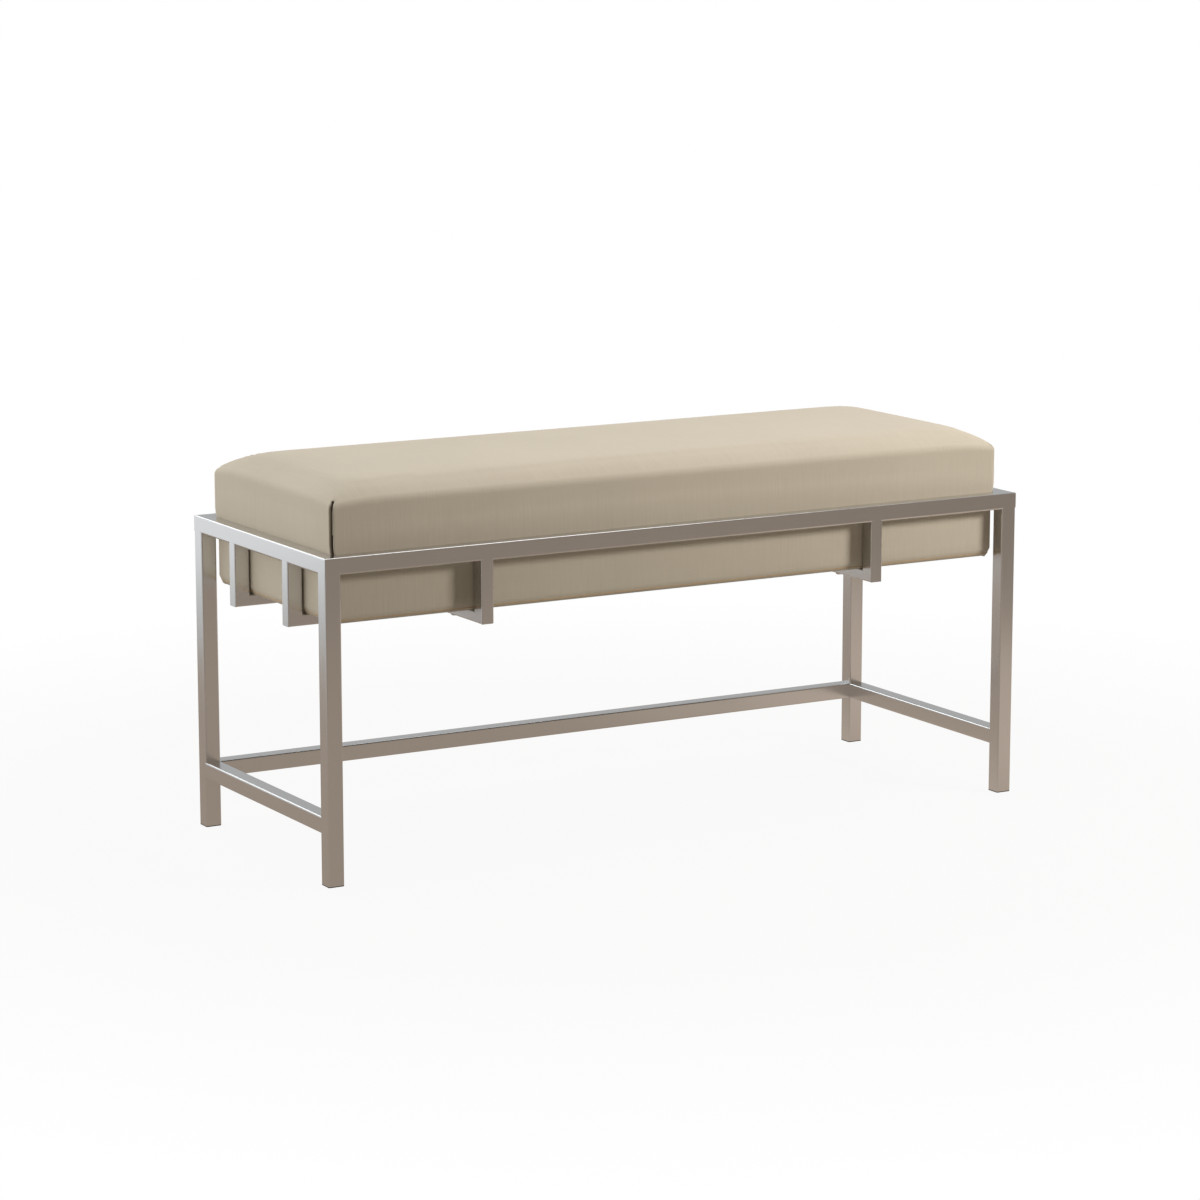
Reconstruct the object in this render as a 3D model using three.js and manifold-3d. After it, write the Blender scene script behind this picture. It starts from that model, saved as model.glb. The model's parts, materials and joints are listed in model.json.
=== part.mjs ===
// Hotel luggage bench: a welded square-tube frame, a cradle of thinner bars hung from its top rails,
// an upholstered seat box standing in the cradle, and a levelling foot in each leg.
// Millimetres. X runs along the bench, the front faces -Y and Z is up from the floor.
import * as THREE from 'three';
import { mergeVertices } from 'three/addons/utils/BufferGeometryUtils.js';
import Module from 'manifold-3d';

const wasm = await Module();
wasm.setup();

// Frame of square tube
const BENCH_LENGTH = 1200;
const BENCH_WIDTH = 446;
const FRAME_HEIGHT = 480;
const TUBE = 25;
const TUBE_WALL = 1.5;
const TUBE_EDGE_RADIUS = 2.5;
const STRETCHER_HEIGHT = 77; // floor to the underside of the stretchers
const WELD_GAP = 0.3; // root gap that a weld fills

// Cradle of thinner tube under the seat box
const BAR_WIDTH = 20;
const BAR_WALL = 1.5;
const BAR_EDGE_RADIUS = 2;
const DROP_DEPTH = 24; // outside of a drop to its inside
const STRAP_HEIGHT = 17;
const CRADLE_DROP = 93.5; // underside of the top rails to the underside of the cradle
const STRAP_SPACING = 678; // between the two straps that run front to rear
const END_BAR_SPACING = 180; // between the two bars at each end

// Upholstered seat box
const SEAT_CLEARANCE = 1; // cover to the inside of the top rails
const DECK_RISE = 20; // top of the rails to the top of the deck
const FOAM_THICKNESS = 60; // deck to the sewn top edge
const CROWN = 26; // rise of the top from its edge to its middle
const CROWN_POWER = 6; // how flat the crown is in the middle
const FOAM_EDGE_RADIUS = 10; // rounding of the top edge under the cover
const BOX_CORNER_RADIUS = 7; // upright corners under the cover, seen from above
const BOARD_EDGE_RADIUS = 2; // rounding of the boards' lower edge
const END_BULGE = 4.5; // how far the ends swell over the rails
const SIDE_BULGE = 1.5; // how far the front and rear swell over the rails
const BULGE_POWER = 8; // how soon above the rails the sides have swollen
const SIDE_DRAW = 2.5; // how far the front and rear draw in between the corners
const COVER_THICKNESS = 2;
const HEM_WIDTH = 24; // cover turned in under the boards
const DECK_THICKNESS = 12;
const BOARD_THICKNESS = 18;
const RIB_THICKNESS = 38;
const BLOCK_SIZE = 40; // legs of the triangular corner blocks
const FIT_GAP = 0.3; // between pieces that touch

// Seat screws, up through the straps into the ribs
const SCREW_RADIUS = 3;
const SCREW_LENGTH = 50;
const SCREW_TIP = 5;
const SCREW_HEAD_RADIUS = 5.5;
const SCREW_HEAD_HEIGHT = 3;
const SCREW_FACE_RADIUS = 4.4; // flat of the pan head
const SCREW_INSET = 56; // end of a rib to its screw

// Levelling feet
const PAD_RADIUS = 7.5;
const PAD_HEIGHT = 4.5;
const PAD_REVEAL = 1.2; // what shows of a pad below its insert when the foot is screwed in
const PAD_FLOOR = 1.2; // thickness under the stud's collar
const PAD_CHAMFER = 0.8;
const STUD_RADIUS = 4;
const STUD_LENGTH = 32;
const STUD_CHAMFER = 0.8;
const COLLAR_RADIUS = 5.5;
const COLLAR_HEIGHT = 1.4;
const INSERT_FLANGE = 1;
const INSERT_DEPTH = 20; // plug inside the leg
const INSERT_PLAY = 0.3; // fins to the tube's inner wall
const FIN_COUNT = 3; // fins that grip the inside of the leg
const FIN_HEIGHT = 1.6;
const FIN_DEPTH = 1.6;
const KEY_RADIUS = 2.3; // corners of the hexagon socket in the stud's lower end
const KEY_DEPTH = 5;
const KEY_ACCESS_RADIUS = 3; // hole in the pad for the key

// Facets
const EDGE_FACETS = 2; // per half of a rounded tube edge
const ROUND_FACETS = 20; // per turned piece
const CORNER_FACETS = 4; // per upright seat corner
const LONG_SIDE_FACETS = 4;
const SHORT_SIDE_FACETS = 2;
const CROWN_RINGS = 7;
const CROWN_REACH = 0.95; // the outlines of the crown stop just short of its ridge
const SIDE_RINGS = 8;
const ROLL_RINGS = 2; // per rounded seat edge

// Heights and places that follow from the sizes above
const insertBottom = PAD_REVEAL;
const legBottom = insertBottom + INSERT_FLANGE + FIT_GAP;
const railBottom = FRAME_HEIGHT - TUBE;
const legTop = railBottom - WELD_GAP;
const cradleBottom = railBottom - CRADLE_DROP;
const cradleTop = cradleBottom + STRAP_HEIGHT;
const screwSeat = cradleBottom - FIT_GAP;
const seatBottom = cradleTop + FIT_GAP;
const seatHalfLength = BENCH_LENGTH / 2 - TUBE - SEAT_CLEARANCE;
const seatHalfWidth = BENCH_WIDTH / 2 - TUBE - SEAT_CLEARANCE;
const legX = BENCH_LENGTH / 2 - TUBE / 2;
const legY = BENCH_WIDTH / 2 - TUBE / 2;
const mitreGap = WELD_GAP / Math.SQRT2; // cut off each mitred end, to leave the weld gap square to it
const strapX = STRAP_SPACING / 2;
const endBarY = END_BAR_SPACING / 2;
const deckTop = FRAME_HEIGHT + DECK_RISE;
const seatEdge = deckTop + FOAM_THICKNESS;
const deckBottom = deckTop - DECK_THICKNESS;
const liningInset = COVER_THICKNESS + FIT_GAP; // outside of the cover to what it is stretched over
const boardBottom = seatBottom + liningInset;
const boardTop = deckBottom - FIT_GAP;
const boardHalfLength = seatHalfLength - liningInset;
const boardHalfWidth = seatHalfWidth - liningInset;
const innerHalfLength = boardHalfLength - BOARD_THICKNESS - FIT_GAP;
const innerHalfWidth = boardHalfWidth - BOARD_THICKNESS - FIT_GAP;
const screwY = innerHalfWidth - SCREW_INSET;

const towardX = (sign) => new THREE.Vector3(sign, 0, 0);
const towardY = (sign) => new THREE.Vector3(0, sign, 0);
const down = new THREE.Vector3(0, 0, -1);

const finishes = {
  satin: new THREE.MeshStandardMaterial({ color: 0xa89e94, roughness: 0.35, metalness: 1 }),
  zinc: new THREE.MeshStandardMaterial({ color: 0xb9bcbd, roughness: 0.4, metalness: 1 }),
  fabric: new THREE.MeshStandardMaterial({ color: 0xc4b79f, roughness: 0.9, metalness: 0 }),
  foam: new THREE.MeshStandardMaterial({ color: 0xe8dfc4, roughness: 0.95, metalness: 0 }),
  plywood: new THREE.MeshStandardMaterial({ color: 0xcaa878, roughness: 0.7, metalness: 0 }),
  lining: new THREE.MeshStandardMaterial({ color: 0x1d1c1b, roughness: 0.95, metalness: 0 }),
  plastic: new THREE.MeshStandardMaterial({ color: 0x201f1e, roughness: 0.6, metalness: 0 }),
};

const bench = new THREE.Group();

function addPiece(name, geometry, finish) {
  const mesh = new THREE.Mesh(geometry, finishes[finish]);
  mesh.name = name;
  bench.add(mesh);
  return mesh;
}

// The place of a piece whose local x points to the outside and whose local z runs along it
function placing(centre, outside, along) {
  const across = along.clone().cross(outside);
  return new THREE.Matrix4().makeBasis(outside, across, along).setPosition(...centre);
}

function lay(mesh, centre, outside, along) {
  mesh.applyMatrix4(placing(centre, outside, along));
}

// Solids for cutting and joining
function toSolid(geometry) {
  const bare = geometry.clone();
  bare.deleteAttribute('normal');
  bare.deleteAttribute('uv');
  const merged = mergeVertices(bare, 1e-4);
  const vertProperties = new Float32Array(merged.attributes.position.array);
  const triVerts = new Uint32Array(merged.index.array);
  return new wasm.Manifold(new wasm.Mesh({ numProp: 3, vertProperties, triVerts }));
}

function toGeometry(solid) {
  const mesh = solid.getMesh();
  const geometry = new THREE.BufferGeometry();
  geometry.setAttribute('position', new THREE.BufferAttribute(new Float32Array(mesh.vertProperties), 3));
  geometry.setIndex(new THREE.BufferAttribute(new Uint32Array(mesh.triVerts), 1));
  geometry.computeVertexNormals();
  return geometry;
}

function drill(geometry, holes) {
  let solid = toSolid(geometry);
  for (const hole of holes) solid = solid.subtract(toSolid(hole));
  return toGeometry(solid);
}

// An upright drill of a given radius between two heights
function drillBit(radius, x, y, bottom, top) {
  const bit = new THREE.CylinderGeometry(radius, radius, top - bottom, ROUND_FACETS);
  bit.rotateX(Math.PI / 2);
  bit.translate(x, y, (bottom + top) / 2);
  return bit;
}

function roundedOblong(path, depth, width, radius) {
  const flatX = depth / 2 - radius;
  const flatY = width / 2 - radius;
  path.moveTo(depth / 2, -flatY);
  path.lineTo(depth / 2, flatY);
  path.absarc(flatX, flatY, radius, 0, Math.PI / 2);
  path.lineTo(-flatX, width / 2);
  path.absarc(-flatX, flatY, radius, Math.PI / 2, Math.PI);
  path.lineTo(-depth / 2, -flatY);
  path.absarc(-flatX, -flatY, radius, Math.PI, 1.5 * Math.PI);
  path.lineTo(flatX, -width / 2);
  path.absarc(flatX, -flatY, radius, 1.5 * Math.PI, 2 * Math.PI);
  return path;
}

function plainOblong(path, depth, width) {
  path.moveTo(depth / 2, -width / 2);
  path.lineTo(depth / 2, width / 2);
  path.lineTo(-depth / 2, width / 2);
  path.lineTo(-depth / 2, -width / 2);
  return path;
}

// Tube along local z, deep along local x. A mitred end is cut back from its long side at +x
// by the given share of the depth.
function tube(depth, width, wall, radius, length, { mitreStart = 0, mitreEnd = 0 } = {}) {
  const section = roundedOblong(new THREE.Shape(), depth, width, radius);
  section.holes.push(plainOblong(new THREE.Path(), depth - 2 * wall, width - 2 * wall));
  const options = { depth: length, bevelEnabled: false, curveSegments: EDGE_FACETS };
  const geometry = new THREE.ExtrudeGeometry(section, options);
  geometry.translate(0, 0, -length / 2);
  const corner = geometry.attributes.position;
  for (let i = 0; i < corner.count; i += 1) {
    const fromLongSide = depth / 2 - corner.getX(i);
    if (corner.getZ(i) > 0) corner.setZ(i, length / 2 - mitreEnd * fromLongSide);
    else corner.setZ(i, mitreStart * fromLongSide - length / 2);
  }
  return geometry;
}

const frameTube = (length, ends) => tube(TUBE, TUBE, TUBE_WALL, TUBE_EDGE_RADIUS, length, ends);
const dropTube = (length, ends) => tube(DROP_DEPTH, BAR_WIDTH, BAR_WALL, BAR_EDGE_RADIUS, length, ends);
const barTube = (length, ends) => tube(STRAP_HEIGHT, BAR_WIDTH, BAR_WALL, BAR_EDGE_RADIUS, length, ends);

function board(sizeX, sizeY, bottom, top, x = 0, y = 0) {
  const panel = new THREE.BoxGeometry(sizeX, sizeY, top - bottom);
  panel.translate(x, y, (bottom + top) / 2);
  return panel;
}

function turned(profile) {
  const points = profile.map(([radius, height]) => new THREE.Vector2(radius, height));
  const piece = new THREE.LatheGeometry(points, ROUND_FACETS);
  piece.rotateX(Math.PI / 2);
  return piece;
}

const ends = [['left', -1], ['right', 1]];
const sides = [['front', -1], ['rear', 1]];

// Legs, top rails and stretchers
function addFrame() {
  for (const [side, sy] of sides) {
    for (const [end, sx] of ends) {
      const leg = addPiece(`leg_${side}_${end}`, frameTube(legTop - legBottom), 'satin');
      leg.position.set(sx * legX, sy * legY, (legBottom + legTop) / 2);
    }
  }
  const mitred = { mitreStart: 1, mitreEnd: 1 };
  const railZ = FRAME_HEIGHT - TUBE / 2;
  const stretcherZ = STRETCHER_HEIGHT + TUBE / 2;
  for (const [side, sy] of sides) {
    const rail = addPiece(`rail_${side}`, frameTube(BENCH_LENGTH - 2 * mitreGap, mitred), 'satin');
    lay(rail, [0, sy * legY, railZ], towardY(sy), towardX(1));
  }
  for (const [end, sx] of ends) {
    const rail = addPiece(`rail_${end}`, frameTube(BENCH_WIDTH - 2 * mitreGap, mitred), 'satin');
    lay(rail, [sx * legX, 0, railZ], towardX(sx), towardY(1));
    const stretcher = addPiece(`stretcher_${end}`, frameTube(BENCH_WIDTH - 2 * (TUBE + WELD_GAP)), 'satin');
    lay(stretcher, [sx * legX, 0, stretcherZ], towardX(sx), towardY(1));
  }
  const rear = addPiece('stretcher_rear', frameTube(BENCH_LENGTH - 2 * (TUBE + WELD_GAP)), 'satin');
  lay(rear, [0, legY, stretcherZ], towardY(1), towardX(1));
}

// Screw holes up through both walls of a strap and on into the rib above it
function screwHoles(x) {
  const radius = SCREW_RADIUS + FIT_GAP;
  const bottom = cradleBottom - STRAP_HEIGHT;
  const top = screwSeat + SCREW_LENGTH + FIT_GAP;
  return [-1, 1].map((sy) => drillBit(radius, x, sy * screwY, bottom, top));
}

// Drops welded under the rails, straps front to rear, and end bars welded to the straps
function addCradle() {
  const dropLength = legTop - cradleBottom - mitreGap;
  const dropZ = legTop - dropLength / 2;
  const dropX = BENCH_LENGTH / 2 - DROP_DEPTH / 2;
  const dropY = BENCH_WIDTH / 2 - DROP_DEPTH / 2;
  const barZ = cradleBottom + STRAP_HEIGHT / 2;
  const strapLength = BENCH_WIDTH - 2 * mitreGap;
  const endBarStart = strapX + BAR_WIDTH / 2 + WELD_GAP;
  const endBarLength = BENCH_LENGTH / 2 - mitreGap - endBarStart;
  const endBarX = endBarStart + endBarLength / 2;
  const dropCut = { mitreEnd: STRAP_HEIGHT / DROP_DEPTH };
  const barCut = { mitreEnd: DROP_DEPTH / STRAP_HEIGHT };
  const strapCuts = { mitreStart: barCut.mitreEnd, mitreEnd: barCut.mitreEnd };
  for (const [end, sx] of ends) {
    const strap = barTube(strapLength, strapCuts);
    strap.applyMatrix4(placing([sx * strapX, 0, barZ], down, towardY(1)));
    addPiece(`strap_${end}`, drill(strap, screwHoles(sx * strapX)), 'satin');
    for (const [side, sy] of sides) {
      const strapDrop = addPiece(`strap_drop_${side}_${end}`, dropTube(dropLength, dropCut), 'satin');
      lay(strapDrop, [sx * strapX, sy * dropY, dropZ], towardY(sy), down);
      const endDrop = addPiece(`end_drop_${end}_${side}`, dropTube(dropLength, dropCut), 'satin');
      lay(endDrop, [sx * dropX, sy * endBarY, dropZ], towardX(sx), down);
      const endBar = addPiece(`end_bar_${end}_${side}`, barTube(endBarLength, barCut), 'satin');
      lay(endBar, [sx * endBarX, sy * endBarY, barZ], down, towardX(sx));
    }
  }
}

// Rounding grows from the boards and foam out to the cover's outside.
const rounding = (radius, inset) => radius + liningInset - inset;

// One level outline of the seat, counter-clockwise, with its long sides drawn in between the corners
function seatRing(halfLength, halfWidth, radius, z, draw = 0) {
  const ring = [];
  const flatX = halfLength - radius;
  const flatY = halfWidth - radius;
  const corners = [[1, -1], [1, 1], [-1, 1], [-1, -1]];
  corners.forEach(([sx, sy], index) => {
    const start = (index - 1) * Math.PI / 2;
    for (let k = 0; k <= CORNER_FACETS; k += 1) {
      const angle = start + k * Math.PI / 2 / CORNER_FACETS;
      const x = sx * flatX + radius * Math.cos(angle);
      const y = sy * flatY + radius * Math.sin(angle);
      ring.push(new THREE.Vector3(x, y, z));
    }
    const alongEnd = sx !== sy;
    const count = alongEnd ? SHORT_SIDE_FACETS : LONG_SIDE_FACETS;
    for (let k = 1; k < count; k += 1) {
      const t = 2 * k / count - 1;
      const x = alongEnd ? sx * halfLength : -sy * t * flatX;
      const y = alongEnd ? sx * t * flatY : sy * (halfWidth - draw * (1 - t * t));
      ring.push(new THREE.Vector3(x, y, z));
    }
  });
  return ring;
}

// Level outlines of the seat from a given height up to the middle of the crown,
// set in from the cover's outside by a thickness
function seatSides(inset, bottom) {
  const rings = [];
  const halfLength = seatHalfLength - inset;
  const halfWidth = seatHalfWidth - inset;
  const corner = rounding(BOX_CORNER_RADIUS, inset);
  const roll = rounding(FOAM_EDGE_RADIUS, inset);
  const slope = CROWN * CROWN_POWER / seatHalfWidth;
  const rollEnd = Math.atan(1 / slope);
  const rollCentre = seatEdge - rounding(FOAM_EDGE_RADIUS, 0) * Math.sin(rollEnd);

  rings.push(seatRing(halfLength, halfWidth, corner, bottom));
  for (let k = 0; k <= SIDE_RINGS; k += 1) {
    const share = k / SIDE_RINGS;
    const z = FRAME_HEIGHT + share * (rollCentre - FRAME_HEIGHT);
    if (z <= bottom) continue;
    const swell = 1 - (1 - share) ** BULGE_POWER;
    const long = halfLength + END_BULGE * swell;
    const wide = halfWidth + SIDE_BULGE * swell;
    rings.push(seatRing(long, wide, corner, z, SIDE_DRAW * share));
  }
  const topHalfLength = halfLength + END_BULGE;
  const topHalfWidth = halfWidth + SIDE_BULGE;
  for (let k = 1; k <= ROLL_RINGS; k += 1) {
    const angle = rollEnd * k / ROLL_RINGS;
    const pull = roll * (1 - Math.cos(angle));
    const z = rollCentre + roll * Math.sin(angle);
    rings.push(seatRing(topHalfLength - pull, topHalfWidth - pull, corner + pull, z, SIDE_DRAW));
  }
  const crownStart = roll * (1 - Math.cos(rollEnd));
  const crownBase = rollCentre + roll * Math.sin(rollEnd);
  const reach = topHalfWidth - crownStart;
  for (let k = 1; k <= CROWN_RINGS; k += 1) {
    const share = CROWN_REACH * (k / CROWN_RINGS) ** 2;
    const pull = crownStart + share * reach;
    const rise = CROWN * (1 - (1 - share) ** CROWN_POWER);
    const width = topHalfWidth - pull;
    const radius = Math.min(corner + pull, width - FIT_GAP);
    const draw = SIDE_DRAW * (1 - share) ** 2;
    rings.push(seatRing(topHalfLength - pull, width, radius, crownBase + rise, draw));
  }
  return rings;
}

// Skin over level outlines, with the first and last closed by fans. Outward when the outlines climb.
function skin(rings) {
  const count = rings[0].length;
  const points = rings.flat();
  const triangles = [];
  for (let level = 0; level + 1 < rings.length; level += 1) {
    for (let k = 0; k < count; k += 1) {
      const next = (k + 1) % count;
      const a = level * count + k;
      const b = level * count + next;
      triangles.push(a, b, b + count, a, b + count, a + count);
    }
  }
  const closings = [[rings[0], 0, false], [rings.at(-1), points.length - count, true]];
  for (const [ring, first, facesUp] of closings) {
    const centre = ring.reduce((sum, point) => sum.add(point), new THREE.Vector3()).divideScalar(count);
    const middle = points.push(centre) - 1;
    for (let k = 0; k < count; k += 1) {
      const next = first + (k + 1) % count;
      if (facesUp) triangles.push(first + k, next, middle);
      else triangles.push(next, first + k, middle);
    }
  }
  const geometry = new THREE.BufferGeometry().setFromPoints(points);
  geometry.setIndex(triangles);
  geometry.computeVertexNormals();
  return geometry;
}

// Rings of the rolled lower edge and the hem turned in under the boards, from the inside out
function hemRings(inset, level) {
  const halfLength = seatHalfLength - inset;
  const halfWidth = seatHalfWidth - inset;
  const corner = rounding(BOX_CORNER_RADIUS, inset);
  const roll = rounding(BOARD_EDGE_RADIUS, inset);
  const edge = HEM_WIDTH - inset;
  const rings = [seatRing(halfLength - edge, halfWidth - edge, corner, level)];
  for (let k = 0; k <= ROLL_RINGS; k += 1) {
    const angle = k / ROLL_RINGS * Math.PI / 2;
    const pull = roll * (1 - Math.sin(angle));
    const z = level + roll * (1 - Math.cos(angle));
    rings.push(seatRing(halfLength - pull, halfWidth - pull, corner, z));
  }
  return rings;
}

// The sewn cover: its lining side from the crown down to the hem, then its outside back up to the crown
function addCover() {
  const shoulder = boardBottom + BOARD_EDGE_RADIUS + FIT_GAP;
  const face = (inset) => [...hemRings(inset, seatBottom + inset), ...seatSides(inset, shoulder)];
  addPiece('seat_cover', skin([...face(COVER_THICKNESS).reverse(), ...face(0)]), 'fabric');
}

// A flat sheet with rounded corners, set in from the cover's outside
function seatSheet(inset, radius, bottom, top) {
  const outline = (z) => seatRing(seatHalfLength - inset, seatHalfWidth - inset, radius, z);
  return skin([outline(bottom), outline(top)]);
}

// Boards, ribs, corner blocks, deck, foam and dust cover inside the seat cover
function addSeatBox() {
  const boxTop = seatRing(boardHalfLength, boardHalfWidth, BOX_CORNER_RADIUS, boardTop);
  const roundedBox = toSolid(skin([...hemRings(liningInset, boardBottom), boxTop]));
  const rounded = (panel) => toGeometry(toSolid(panel).intersect(roundedBox));
  for (const [side, sy] of sides) {
    const centre = sy * (boardHalfWidth - BOARD_THICKNESS / 2);
    const panel = board(2 * boardHalfLength, BOARD_THICKNESS, boardBottom, boardTop, 0, centre);
    addPiece(`box_board_${side}`, rounded(panel), 'plywood');
  }
  for (const [end, sx] of ends) {
    const centre = sx * (boardHalfLength - BOARD_THICKNESS / 2);
    const panel = board(BOARD_THICKNESS, 2 * innerHalfWidth, boardBottom, boardTop, centre, 0);
    addPiece(`box_board_${end}`, rounded(panel), 'plywood');

    const rib = board(RIB_THICKNESS, 2 * innerHalfWidth, boardBottom, boardTop, sx * strapX, 0);
    addPiece(`box_rib_${end}`, drill(rib, screwHoles(sx * strapX)), 'plywood');

    for (const [side, sy] of sides) {
      const outline = new THREE.Shape();
      outline.moveTo(0, 0);
      outline.lineTo(BLOCK_SIZE, 0);
      outline.lineTo(0, BLOCK_SIZE);
      const options = { depth: boardTop - boardBottom, bevelEnabled: false };
      const block = new THREE.ExtrudeGeometry(outline, options);
      const mesh = addPiece(`corner_block_${side}_${end}`, block, 'plywood');
      mesh.position.set(sx * innerHalfLength, sy * innerHalfWidth, boardBottom);
      mesh.rotation.z = Math.atan2(-sy, -sx) - Math.PI / 4;
    }
  }
  addPiece('seat_deck', seatSheet(liningInset, BOX_CORNER_RADIUS, deckBottom, deckTop), 'plywood');
  addPiece('seat_foam', skin(seatSides(liningInset, deckTop + FIT_GAP)), 'foam');

  const hemCorner = rounding(BOX_CORNER_RADIUS, 0);
  const sheet = seatSheet(HEM_WIDTH + FIT_GAP, hemCorner, seatBottom, seatBottom + COVER_THICKNESS);
  addPiece('dust_cover', drill(sheet, [...screwHoles(-strapX), ...screwHoles(strapX)]), 'lining');
}

// Screws with their heads under the straps
function addScrews() {
  const tip = screwSeat + SCREW_LENGTH;
  for (const [end, sx] of ends) {
    for (const [side, sy] of sides) {
      const screw = turned([
        [0, screwSeat - SCREW_HEAD_HEIGHT],
        [SCREW_FACE_RADIUS, screwSeat - SCREW_HEAD_HEIGHT],
        [SCREW_HEAD_RADIUS, screwSeat - SCREW_HEAD_HEIGHT / 2],
        [SCREW_HEAD_RADIUS, screwSeat],
        [SCREW_RADIUS, screwSeat],
        [SCREW_RADIUS, tip - SCREW_TIP],
        [0, tip],
      ]);
      const mesh = addPiece(`seat_screw_${side}_${end}`, screw, 'zinc');
      mesh.position.set(sx * strapX, sy * screwY, 0);
    }
  }
}

// A finned plug for the leg end, bored for the stud and hollowed below so that the pad sinks in
function footInsert(bore) {
  const slab = (side, bottom, top) => {
    const options = { depth: top - bottom, bevelEnabled: false, curveSegments: EDGE_FACETS };
    const outline = roundedOblong(new THREE.Shape(), side, side, TUBE_EDGE_RADIUS);
    return toSolid(new THREE.ExtrudeGeometry(outline, options).translate(0, 0, bottom));
  };
  const plugTop = legBottom + INSERT_DEPTH;
  const finSide = TUBE - 2 * (TUBE_WALL + INSERT_PLAY);
  const flange = slab(TUBE, insertBottom, insertBottom + INSERT_FLANGE);
  let insert = flange.add(slab(finSide - 2 * FIN_DEPTH, insertBottom, plugTop));
  for (let k = 1; k <= FIN_COUNT; k += 1) {
    const finTop = legBottom + k * INSERT_DEPTH / FIN_COUNT - FIT_GAP;
    insert = insert.add(slab(finSide, finTop - FIN_HEIGHT, finTop));
  }
  const hole = drillBit(bore, 0, 0, insertBottom - PAD_HEIGHT, plugTop + PAD_HEIGHT);
  const hollow = drillBit(PAD_RADIUS + FIT_GAP, 0, 0, insertBottom - PAD_HEIGHT, PAD_HEIGHT + FIT_GAP);
  return toGeometry(insert.subtract(toSolid(hole)).subtract(toSolid(hollow)));
}

// A plug in the leg end, the stud that a key turns in its thread, and the pad that swivels on its collar
function addFeet() {
  const neck = STUD_RADIUS + FIT_GAP;
  const socket = COLLAR_RADIUS + FIT_GAP;
  const collarBottom = PAD_FLOOR + FIT_GAP;
  const collarTop = collarBottom + COLLAR_HEIGHT;
  const studTop = collarBottom + STUD_LENGTH;
  const keyHole = new THREE.CylinderGeometry(KEY_RADIUS, KEY_RADIUS, 2 * KEY_DEPTH, 6);
  keyHole.rotateX(Math.PI / 2);
  keyHole.translate(0, 0, collarBottom);
  const stud = [
    [0, collarBottom],
    [COLLAR_RADIUS, collarBottom],
    [COLLAR_RADIUS, collarTop],
    [STUD_RADIUS, collarTop],
    [STUD_RADIUS, studTop - STUD_CHAMFER],
    [STUD_RADIUS - STUD_CHAMFER, studTop],
    [0, studTop],
  ];
  const pad = [
    [KEY_ACCESS_RADIUS, 0],
    [PAD_RADIUS - PAD_CHAMFER, 0],
    [PAD_RADIUS, PAD_CHAMFER],
    [PAD_RADIUS, PAD_HEIGHT - PAD_CHAMFER],
    [PAD_RADIUS - PAD_CHAMFER, PAD_HEIGHT],
    [neck, PAD_HEIGHT],
    [neck, collarTop + FIT_GAP],
    [socket, collarTop + FIT_GAP],
    [socket, PAD_FLOOR],
    [KEY_ACCESS_RADIUS, PAD_FLOOR],
    [KEY_ACCESS_RADIUS, 0],
  ];
  for (const [side, sy] of sides) {
    for (const [end, sx] of ends) {
      const pieces = [
        addPiece(`foot_insert_${side}_${end}`, footInsert(neck), 'plastic'),
        addPiece(`foot_stud_${side}_${end}`, drill(turned(stud), [keyHole]), 'zinc'),
        addPiece(`foot_pad_${side}_${end}`, turned(pad), 'plastic'),
      ];
      for (const piece of pieces) piece.position.set(sx * legX, sy * legY, 0);
    }
  }
}

addFrame();
addCradle();
addCover();
addSeatBox();
addScrews();
addFeet();

export default bench;
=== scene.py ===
import json
import math

import bmesh
import bpy
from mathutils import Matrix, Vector


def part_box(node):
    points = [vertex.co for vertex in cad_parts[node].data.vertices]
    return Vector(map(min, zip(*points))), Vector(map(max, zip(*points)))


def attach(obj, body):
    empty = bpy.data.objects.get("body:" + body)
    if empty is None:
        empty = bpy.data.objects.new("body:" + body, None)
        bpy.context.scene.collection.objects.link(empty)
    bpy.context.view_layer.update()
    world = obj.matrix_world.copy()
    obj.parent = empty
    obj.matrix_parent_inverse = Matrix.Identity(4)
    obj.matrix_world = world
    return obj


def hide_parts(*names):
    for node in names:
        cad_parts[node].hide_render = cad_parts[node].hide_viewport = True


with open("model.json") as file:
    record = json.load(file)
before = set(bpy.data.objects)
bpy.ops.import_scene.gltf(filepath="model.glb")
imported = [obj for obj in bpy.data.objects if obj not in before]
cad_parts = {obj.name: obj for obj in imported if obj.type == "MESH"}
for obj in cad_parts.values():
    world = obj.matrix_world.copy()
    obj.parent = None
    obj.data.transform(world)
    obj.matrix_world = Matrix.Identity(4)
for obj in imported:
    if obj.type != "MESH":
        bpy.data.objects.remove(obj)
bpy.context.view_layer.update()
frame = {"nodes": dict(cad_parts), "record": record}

# Cover and foam, in metres
COVER_THICKNESS = 0.002
FIT_GAP = 0.0003
HEM_WIDTH = 0.024
CORNER_RADIUS = 0.005
TOP_ROLL = 0.014
BOTTOM_ROLL = 0.004
CROWN = 0.026
CROWN_POWER = 6  # how steeply the crown climbs from its edge
CROWN_BLEND = 4  # how tightly the climbs from an end and a side meet
CORNER_DIP = 0.006
CORNER_REACH = 0.09
SIDE_DRAW = 0.0025
END_BULGE = 0.0045
SIDE_BULGE = 0.0015
BULGE_POWER = 24  # how soon above the rails the sides are swollen
SEAM_WIDTH = 0.006
SEAM_DEPTH = 0.008

# Stuffing of the cover
SWELL_CAP = 0.0015
EDGE_HOLD = 0.05
SWELL_PRESSURE = 1.0
SWELL_FRAMES = 20
SWELL_QUALITY = 3

# Mesh of the soft pieces
COARSE_STEP = 0.012
FINE_STEP = 0.001
STEP_GROWTH = 1.15
PLACE_DIGITS = 6
TINY = 1e-6

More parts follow.
